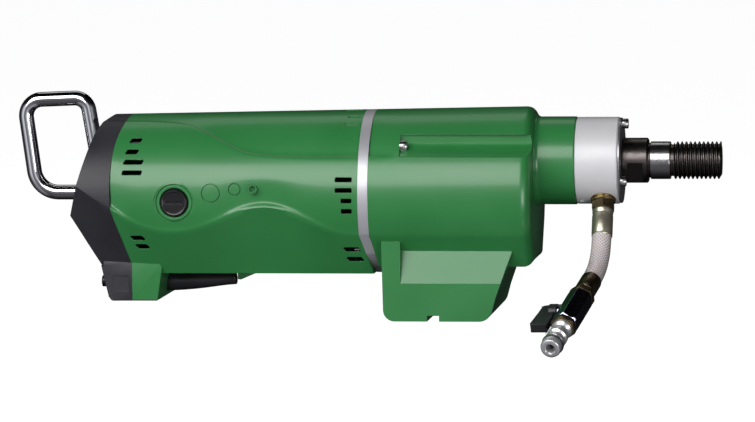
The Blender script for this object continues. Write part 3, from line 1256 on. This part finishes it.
@dataclass
class BallValve:
    """The ball valve on the hose's end, with its lever and coupling nipple.

    Attributes:
        across: Size of the body across flats.
        ball_z: Place of the ball along the flow.
    """

    across: float = 19.0
    ball_z: float = 33.0

    def place(self) -> Matrix:
        """Z along the flow from the hose's end, X up the stem, both read from the frame."""
        mounts = {m["name"]: m for m in frame["record"]["mounts"]}
        joints = {j["name"]: j for j in frame["joints"]}
        return placed(WaterHose().route[-1], mounts["coupling_plug"]["axis"], joints["valve_turn"]["axis"])

    def body(self, place: Matrix) -> bpy.types.Object:
        """The chromed body: a long hexagon with turned shoulders and a stem boss."""
        a = self.across
        obj = as_object(prism(polygon(6, a, math.pi / 6), 9.0, 56.0), "valve_body_shell")
        r = a / 2 / math.cos(math.pi / 6)
        cone = [(9.0, 0), (9.0, a / 2 - 0.4), (10.4, r + 0.02), (54.4, r + 0.02), (56.0, a / 2 - 0.6), (56.0, 0)]
        combine(obj, [as_object(lathe(cone, 96), "cone")], "INTERSECT")
        boss = lathe([(6.0, 0), (6.0, 6.4), (10.0, 6.4), (10.6, 5.6), (11.6, 5.6), (11.6, 0)], 48)
        combine(obj, [as_object(boss, "boss", placed((0, 0, self.ball_z), (1, 0, 0), (0, 0, 1)))], "UNION")
        bore = as_object(lathe([(30, 0), (30, 7.8), (60, 7.8), (60, 0)], 48), "bore")
        combine(obj, [bore], "DIFFERENCE")
        obj.data.transform(place)
        return obj

    def lever(self, place: Matrix) -> bpy.types.Object:
        """The plastic lever: a round hub and a tall blade along the flow."""
        side = [(13.0, -6.2), (19.0, -6.2), (26.6, -4.8), (27.6, 29.6), (13.0, 29.6)]
        outline = rounded([(x, self.ball_z + z) for x, z in side], [0, 3.0, 2.2, 1.2, 1.2], 5)
        bm = slab(outline, -3.4, 3.4)
        soften(bm, 0.9, 60, 3)
        obj = as_object(bm, "valve_lever_blade")
        up_stem = placed((0, 0, self.ball_z), (1, 0, 0), (0, 0, 1))
        hub = lathe([(12.0, 0), (12.0, 6.2), (12.6, 6.8), (18.6, 6.8), (19.6, 6.2), (20.0, 5.2), (20.0, 0)], 56)
        bore = lathe([(20.0, 0), (20.0, 2.45), (30.0, 2.45), (30.0, 0)], 40)
        combine(obj, [as_object(hub, "hub", up_stem)], "UNION")
        combine(obj, [as_object(bore, "bore", up_stem)], "DIFFERENCE")
        obj.data.transform(place)
        return obj

    def screw(self, place: Matrix) -> bpy.types.Object:
        """The slotted screw at the bottom of the lever's bore."""
        head = lathe([(20.0, 0), (20.0, 2.2), (21.4, 2.2), (22.0, 1.7), (22.2, 1.0), (22.2, 0)], 40)
        obj = as_object(head, "lever_screw_head", placed((0, 0, self.ball_z), (1, 0, 0), (0, 0, 1)))
        slot = as_object(box((21.4, -5, self.ball_z - 0.4), (23, 5, self.ball_z + 0.4)), "slot")
        combine(obj, [slot], "DIFFERENCE")
        obj.data.transform(place)
        return obj

    def gland(self, place: Matrix) -> bpy.types.Object:
        """The bright gland ring round the stem, under the lever."""
        profile = [(9.6, 2.6), (9.6, 6.0), (10.0, 6.4), (11.2, 6.4), (11.6, 6.0), (11.6, 2.6)]
        return as_object(lathe(profile, 56, ring=True), "stem_gland_ring",
                         place @ placed((0, 0, self.ball_z), (1, 0, 0), (0, 0, 1)))

    def nose(self, place: Matrix) -> bpy.types.Object:
        """The quick-coupling nipple with its grooves and bore."""
        profile = [(62.0, 3.75), (62.0, 8.2), (62.5, 8.6), (65.4, 8.6), (66.4, 7.6), (67.4, 6.4), (73.0, 6.4), (74.4, 8.0), (75.0, 8.6),
                   (78.6, 8.6), (79.4, 7.6), (80.0, 6.9), (82.4, 6.9), (83.2, 8.1), (83.8, 8.6), (87.6, 8.6), (88.0, 8.2),
                   (88.0, 7.2), (91.2, 7.2), (91.2, 8.2), (91.7, 8.6), (95.6, 8.6), (97.2, 8.0), (97.9, 7.0), (98.0, 6.2), (98.0, 4.6),
                   (97.0, 3.75)]
        return as_object(lathe(profile, 96, ring=True), "coupling_nose", place)

    def build(self) -> tuple[Matrix, list[bpy.types.Object]]:
        """Makes the valve.

        Returns:
            The valve's place, and its pieces.
        """
        place = self.place()
        nut = hexagon_nut("tail_nut", place, 2.0, 9.0, self.across)
        collar = as_object(lathe([(0.0, 0), (0.0, 8.4), (0.5, 8.9), (1.5, 8.9), (2.0, 8.4), (2.0, 0)], 64), "tail_collar", place)
        adapter = hexagon_nut("adapter_hexagon", place, 56.0, 62.0, self.across)
        oring = lathe([(89.6 + 1.3 * math.cos(t), 8.0 + 1.3 * math.sin(t)) for t in
                       [math.tau * k / 16 for k in range(16)]], 64, ring=True)
        made = [
            piece(nut, DULL_BRASS, Body.UNIT, 30, ["hose_tail"]),
            piece(collar, YELLOW_ZINC, Body.UNIT, 30),
            piece(self.body(place), VALVE_CHROME, Body.UNIT, 30, ["valve_body"]),
            piece(self.gland(place), VALVE_CHROME, Body.UNIT, 30),
            piece(adapter, DULL_BRASS, Body.UNIT, 30, ["valve_adapter"]),
            piece(self.nose(place), NOSE_SILVER, Body.UNIT, 30, ["coupling_nipple"]),
            piece(as_object(oring, "coupling_seal", place), RUBBER, Body.UNIT, 60, ["coupling_oring"]),
        ]
        lever = piece(self.lever(place), LEVER_BLACK, Body.LEVER, 30, ["valve_lever"])
        screw = piece(self.screw(place), ZINC, Body.LEVER, 30, ["valve_lever_screw"])
        return place, made + [lever, screw]


@dataclass
class BrushCap:
    """A slotted brush cap on each side of the motor."""

    axis: Point2 = (-217.6, 100.0)

    def build(self) -> None:
        """Makes both caps."""
        for side, name in ((-1, "near"), (1, "far")):
            profile = [(52, 0), (52, 9.2), (60, 9.2), (60, 11.4), (60.4, 11.8), (67.4, 11.8), (68.4, 11.2), (69.0, 10.2),
                       (68.7, 9.2), (68.0, 8.7), (67.9, 0)]
            place = placed((self.axis[0], 0, self.axis[1]), (0, side, 0))
            obj = as_object(lathe(profile, 72), f"brush_cap_face_{name}", place)
            slot = as_object(box((-7.4, -1.2, 66.6), (7.4, 1.2, 72)), "slot", place)
            combine(obj, [slot], "DIFFERENCE")
            piece(obj, GLOSS_BLACK, Body.UNIT, 30, [f"brush_cap_{name}"])


@dataclass
class CordGuard:
    """The tapered rubber guard where the cord leaves the foot."""

    root: Point3 = (-247.5, 0.0, 26.0)
    tip: Point3 = (-176.6, 0.0, 29.25)

    def build(self) -> None:
        """Makes the guard, with a plain root, a tapered run and a rolled mouth."""
        way = Vector(self.tip) - Vector(self.root)
        length = way.length
        profile = [(0, 3.2), (0, 8.4), (3.0, 8.4), (3.2, 7.6), (12.6, 7.6), (13.2, 7.9), (15.0, 8.0)]
        steps = 10
        for k in range(1, steps + 1):
            t = k / steps
            profile.append((15.0 + (length - 17.0) * t, 8.0 - 2.9 * ease(t * 0.5 + 0.5 * t * t)))
        profile += [(length - 1.2, 5.2), (length - 0.5, 5.0), (length, 4.4), (length, 3.2)]
        obj = as_object(lathe(profile, 56, ring=True), "cord_guard_sleeve", placed(self.root, tuple(way)))
        piece(obj, RUBBER, Body.UNIT, 40, ["cord_guard"])


@dataclass
class Switch:
    """The rocker switch on the foot's rear face."""

    middle: Point3 = (-282.55, 0.0, 30.75)
    lean: float = math.atan2(285.5 - 279.6, 43.0 - 18.5)

    def build(self) -> None:
        """Makes the switch's frame and rocker."""
        place = placed(self.middle, (-math.cos(self.lean), 0, -math.sin(self.lean)), (0, -1, 0))
        bm = box((-15.5, -11.3, 0.0), (15.5, 11.3, 1.8))
        soften(bm, 0.8, 50, 3, lambda p: p.z > 0.0005)
        obj = as_object(bm, "switch_bezel")
        body = as_object(box((-13.4, -9.4, -18), (13.4, 9.4, 0.2)), "body")
        combine(obj, [body], "UNION")
        window = as_object(box((-11.4, -7.4, -11), (11.4, 7.4, 3)), "window")
        combine(obj, [window], "DIFFERENCE")
        obj.data.transform(place)
        piece(obj, GLOSS_BLACK, Body.UNIT, 30, ["switch_frame"])
        rocker = slab(rounded([(-10.2, -2.6), (10.2, -2.6), (10.2, 4.0), (0, 1.9), (-10.2, 4.0)], [0.8, 0.8, 1.2, 12, 1.2], 5), -6.8, 6.8)
        soften(rocker, 0.4, 60, 2)
        tilt = Matrix.Translation(Vector((0, 0, -1.2 * MM))) @ Matrix.Rotation(math.radians(8), 4, "Y")
        obj = as_object(rocker, "switch_rocker_key", place @ tilt)
        piece(obj, GLOSS_BLACK, Body.ROCKER, 30, ["switch_rocker"])


@dataclass
class Studio:
    """Camera, floor and lights.

    Attributes:
        target: The point that the camera looks at.
        distance: How far away it stands.
        azimuth, elevation, roll: Its angles in degrees.
        focal: Focal length in mm.
        floor_z: Height of the floor.
        bands: Brightness of the surroundings from below to above, from front to back and
            from left to right; the three multiply.
    """

    target: Point3 = (-54.5, 0.0, 87.0)
    distance: float = 3620.0
    azimuth: float = 7.9
    elevation: float = 5.2
    roll: float = 0.7
    focal: float = 203.1
    floor_z: float = -260.0
    bands: dict[str, tuple[Point2, ...]] = field(default_factory=lambda: {
        "Z": ((0.0, 0.42), (0.30, 0.38), (0.42, 0.9), (0.60, 1.0), (0.72, 0.05), (1.0, 0.03)),
        "Y": ((0.0, 0.75), (0.16, 0.9), (0.42, 0.30), (0.6, 0.12), (0.8, 0.05), (1.0, 0.03)),
        "X": ((0.0, 0.12), (0.10, 0.95), (0.22, 1.0), (0.30, 0.22), (0.50, 0.34), (0.58, 1.0), (0.70, 1.0),
              (0.76, 0.10), (0.90, 0.55), (1.0, 0.3))})

    def camera(self) -> None:
        """The camera."""
        a, e = math.radians(self.azimuth), math.radians(self.elevation)
        back = Vector((math.sin(a) * math.cos(e), -math.cos(a) * math.cos(e), math.sin(e)))
        right = Vector((math.cos(a), math.sin(a), 0))
        up = back.cross(right)
        r = math.radians(self.roll)
        right, up = right * math.cos(r) - up * math.sin(r), up * math.cos(r) + right * math.sin(r)
        data = bpy.data.cameras.new("camera")
        data.lens = self.focal
        data.sensor_width = 36.0
        data.clip_end = 30.0
        obj = bpy.data.objects.new("camera", data)
        turn = Matrix((right, up, back)).transposed().to_4x4()
        obj.matrix_world = Matrix.Translation((Vector(self.target) + back * self.distance) * MM) @ turn
        bpy.context.scene.collection.objects.link(obj)
        bpy.context.scene.camera = obj

    def floor(self) -> None:
        """A wide pale floor that shows white and throws no light back."""
        bm = bmesh.new()
        bmesh.ops.create_circle(bm, cap_ends=True, segments=96, radius=30.0,
                                matrix=Matrix.Translation((0, 0, self.floor_z * MM)))
        obj = as_object(bm, "studio_floor")
        n = Nodes("studio_paper")
        soft = n.mix(n.noise(3.0, 2.0), (0.86, 0.86, 0.86, 1), (0.88, 0.88, 0.88, 1))
        obj.data.materials.append(n.done(n.add("BsdfPrincipled", Base_Color=soft, Roughness=0.9,
                                               Emission_Color=(1, 1, 1, 1), Emission_Strength=0.95)))
        obj.visible_diffuse = False
        obj.visible_glossy = False
        obj.visible_transmission = False

    def surroundings(self) -> None:
        """The room's own light: a bright horizon under a dark ceiling."""
        world = bpy.data.worlds.new("studio")
        world.use_nodes = True
        tree = world.node_tree
        background = tree.nodes["Background"]
        split = tree.nodes.new("ShaderNodeSeparateXYZ")
        tree.links.new(tree.nodes.new("ShaderNodeTexCoord").outputs["Generated"], split.inputs[0])
        product = None
        for axis, stops in self.bands.items():
            spread = tree.nodes.new("ShaderNodeMapRange")
            spread.inputs["From Min"].default_value = -1.0
            ramp = tree.nodes.new("ShaderNodeValToRGB")
            for place, value in stops[1:-1]:
                ramp.color_ramp.elements.new(place).color = (value, value, value * 1.03, 1)
            for element, (place, value) in ((ramp.color_ramp.elements[0], stops[0]),
                                            (ramp.color_ramp.elements[-1], stops[-1])):
                element.color = (value, value, value * 1.03, 1)
            tree.links.new(split.outputs[axis], spread.inputs[0])
            tree.links.new(spread.outputs[0], ramp.inputs[0])
            if product is not None:
                both = tree.nodes.new("ShaderNodeVectorMath")
                both.operation = "MULTIPLY"
                tree.links.new(product, both.inputs[0])
                tree.links.new(ramp.outputs[0], both.inputs[1])
            product = ramp.outputs[0] if product is None else both.outputs[0]
        tree.links.new(product, background.inputs[0])
        background.inputs[1].default_value = 1.0
        bpy.context.scene.world = world

    def light(self, name: str, at: Point3, aim: Point3, size: Point2, power: float) -> None:
        """A rectangular soft light.

        Args:
            name: Its name.
            at: Where it is, in metres.
            aim: The point it faces.
            size: Width and height in metres.
            power: Watts.
        """
        data = bpy.data.lights.new(name, "AREA")
        data.shape = "RECTANGLE"
        data.size, data.size_y = size
        data.energy = power
        obj = bpy.data.objects.new(name, data)
        way = Vector(aim) - Vector(at)
        obj.matrix_world = Matrix.Translation(at) @ way.to_track_quat("-Z", "Y").to_matrix().to_4x4()
        bpy.context.scene.collection.objects.link(obj)

    def build(self) -> None:
        """Sets up the studio."""
        self.camera()
        self.floor()
        self.surroundings()
        self.light("key", (-0.9, -2.2, 1.35), (-0.05, 0, 0.1), (2.4, 1.5), 60)
        self.light("low_fill", (1.25, -1.9, -0.12), (0.1, 0, 0.05), (1.2, 0.7), 15)
        self.light("back", (-0.4, 1.5, 2.3), (-0.05, 0, 0.1), (1.8, 0.9), 4)
        bpy.context.scene.view_settings.view_transform = "Standard"


def dress_cad() -> None:
    """Gives every CAD node the finish of its slot."""
    for row in frame["record"]["subparts"]:
        node = frame["nodes"].get(row["node"])
        if node is None:
            continue
        node.data.materials.clear()
        node.data.materials.append(SLOT_FINISH[row["material_slot"]].material())


def main() -> None:
    """Builds the studio and every sub-assembly."""
    logging.basicConfig(level=logging.INFO, format="%(message)s")
    studio = Studio()
    studio.build()
    dress_cad()
    swivel = WaterSwivel()
    place, _ = BallValve().build()
    WaterHose().build(place, swivel)
    swivel.build()
    SpindleNose().build()
    MotorHousing().build()
    RearCap().build()
    GearCase().build()
    CarryHandle().build()
    BrushCap().build()
    CordGuard().build()
    Switch().build()


if __name__ == "__main__":
    main()
